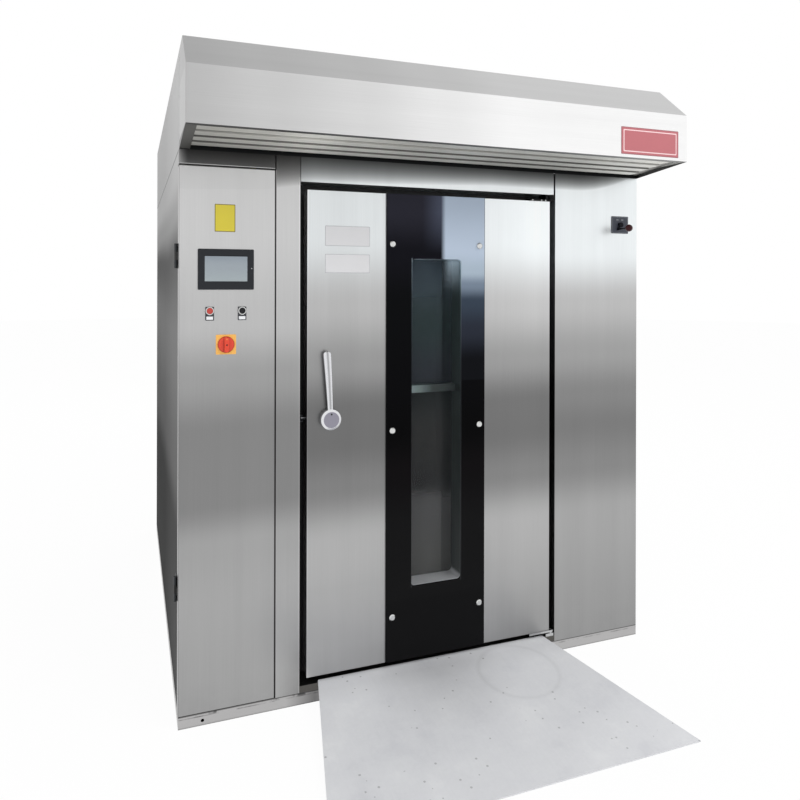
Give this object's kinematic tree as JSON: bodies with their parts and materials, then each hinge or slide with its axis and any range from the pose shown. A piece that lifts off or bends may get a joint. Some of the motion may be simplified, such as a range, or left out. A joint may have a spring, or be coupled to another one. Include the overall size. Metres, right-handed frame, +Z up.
{
  "type": "rotating rack oven",
  "caption": "Walk-in rotating rack oven in stainless steel with vapour hood, windowed door, control cabinet, turning trolley cradle, roof drive and loading ramp.",
  "frame": {"origin": "centre of the cabinet's footprint, on the floor", "axes": "+X to the right of someone facing the door, -Y towards the front, +Z up"},
  "size_m": [2.013, 2.9, 2.524],
  "materials": {
    "stainless": "satin brushed stainless sheet",
    "stainless_front": "satin brushed stainless sheet",
    "stainless_inner": "dull stainless sheet",
    "plain_steel": "machined steel",
    "ramp_steel": "worn satin stainless plate",
    "black_frame": "matt black",
    "motor_paint": "semi-gloss machine paint",
    "bearing_iron": "painted casting",
    "polished": "polished",
    "alloy": "satin",
    "dark_glass": "back-painted glossy black glass",
    "clear_glass": "clear",
    "rubber_black": "matt",
    "wool": "mineral wool",
    "plate_paint": "light grey paint",
    "device_plastic": "matt",
    "bezel_plastic": "fine matt",
    "button_plastic": "matt",
    "red_plastic": "satin",
    "black_plastic": "satin",
    "yellow_plastic": "satin",
    "heater_steel": "heat-tinted",
    "crank_black": "gloss black",
    "dial_grey": "dark grey enamel"
  },
  "bodies": {
    "cabinet": {"base_pan": "stainless", "left_side_panel": "stainless", "right_side_panel": "stainless", "rear_panel": "stainless", "roof_panel": "stainless", "left_top_cover": "stainless", "right_top_cover": "stainless", "rear_top_cover": "stainless", "header_strip": "stainless_front", "front_post": "stainless_front", "lintel": "stainless_front", "right_front_panel": "stainless_front", "hood_shell": "stainless_front", "hood_back_plate": "stainless", "hood_louvres": "stainless", "frame_left": "black_frame", "frame_right": "black_frame", "frame_head": "black_frame", "door_sill": "stainless", "chamber_floor": "stainless_inner", "chamber_walls": "stainless_inner", "air_wall": "stainless_inner", "chamber_ceiling": "stainless_inner", "insulation": "wool", "component_plate": "plate_paint", "switchgear": "device_plastic", "ramp": "ramp_steel", "hinge_brackets": "plain_steel", "latch_keeper": "plain_steel", "control_hinges": "plain_steel", "shaft_bearings": "bearing_iron", "gearmotor": "motor_paint", "fan_motor": "motor_paint", "heater_bank": "heater_steel", "flue_pipe": "stainless", "dial_plate": "dial_grey"},
    "oven_door": {"door_skin": "stainless_front", "door_inner_skin": "stainless_inner", "door_core": "wool", "window_liner": "stainless_inner", "glass_strip": "dark_glass", "clear_panes": "clear_glass", "glass_caps": "alloy", "door_seals": "rubber_black", "hinge_ears": "plain_steel"},
    "door_handle": {"handle_lever": "polished"},
    "latch": {"latch_tongue": "plain_steel"},
    "control_door": {"control_door": "stainless_front", "touch_screen": "bezel_plastic", "button_bodies": "button_plastic", "switch_plate": "yellow_plastic"},
    "red_button": {"red_button": "red_plastic"},
    "black_button": {"black_button": "black_plastic"},
    "main_switch": {"switch_knob": "red_plastic"},
    "cradle": {"turntable": "stainless_inner", "cradle_frame": "stainless_inner", "drive_gear": "plain_steel"},
    "pinion": {"pinion": "plain_steel"},
    "fan": {"fan_wheel": "plain_steel"},
    "damper": {"damper_crank": "crank_black"}
  },
  "joints": [
    {"name": "door_hinge", "type": "hinge", "parent": "cabinet", "child": "oven_door", "pos_m": [0.55, -1.092, 1], "axis": [0, 0, 1], "range_deg": [0, 115]},
    {"name": "handle_turn", "type": "hinge", "parent": "oven_door", "child": "door_handle", "pos_m": [-0.445, -1.1, 1.078], "axis": [0, 1, 0], "range_deg": [0, 90]},
    {"name": "tongue_slide", "type": "slide", "parent": "oven_door", "child": "latch", "axis": [1, 0, 0], "range_m": [0, 0.018]},
    {"name": "control_door_hinge", "type": "hinge", "parent": "cabinet", "child": "control_door", "pos_m": [-1.007, -1.038, 1], "axis": [0, 0, -1], "range_deg": [0, 105]},
    {"name": "red_press", "type": "slide", "parent": "control_door", "child": "red_button", "axis": [0, 1, 0], "range_m": [0, 0.004], "stiffness_N_per_m": 600},
    {"name": "black_press", "type": "slide", "parent": "control_door", "child": "black_button", "axis": [0, 1, 0], "range_m": [0, 0.004], "stiffness_N_per_m": 600},
    {"name": "switch_turn", "type": "hinge", "parent": "control_door", "child": "main_switch", "pos_m": [-0.835, -1.1, 1.374], "axis": [0, 1, 0], "range_deg": [0, 90]},
    {"name": "cradle_spin", "type": "hinge", "parent": "cabinet", "child": "cradle", "pos_m": [0.0035, -0.335, 1], "axis": [0, 0, 1], "continuous": true},
    {"name": "pinion_spin", "type": "hinge", "parent": "cabinet", "child": "pinion", "pos_m": [-0.1249, -0.335, 2.24], "axis": [0, 0, 1], "continuous": true},
    {"name": "fan_spin", "type": "hinge", "parent": "cabinet", "child": "fan", "pos_m": [0.0035, 0.62, 1.9], "axis": [0, 0, 1], "continuous": true},
    {"name": "damper_turn", "type": "hinge", "parent": "cabinet", "child": "damper", "pos_m": [0.906, -1.1, 1.864], "axis": [0, 1, 0], "range_deg": [0, 90]}
  ],
  "couplings": [
    {"joint": "tongue_slide", "follows": "handle_turn", "m_per_rad": 0.011459},
    {"joint": "pinion_spin", "follows": "cradle_spin", "ratio": -3}
  ]
}
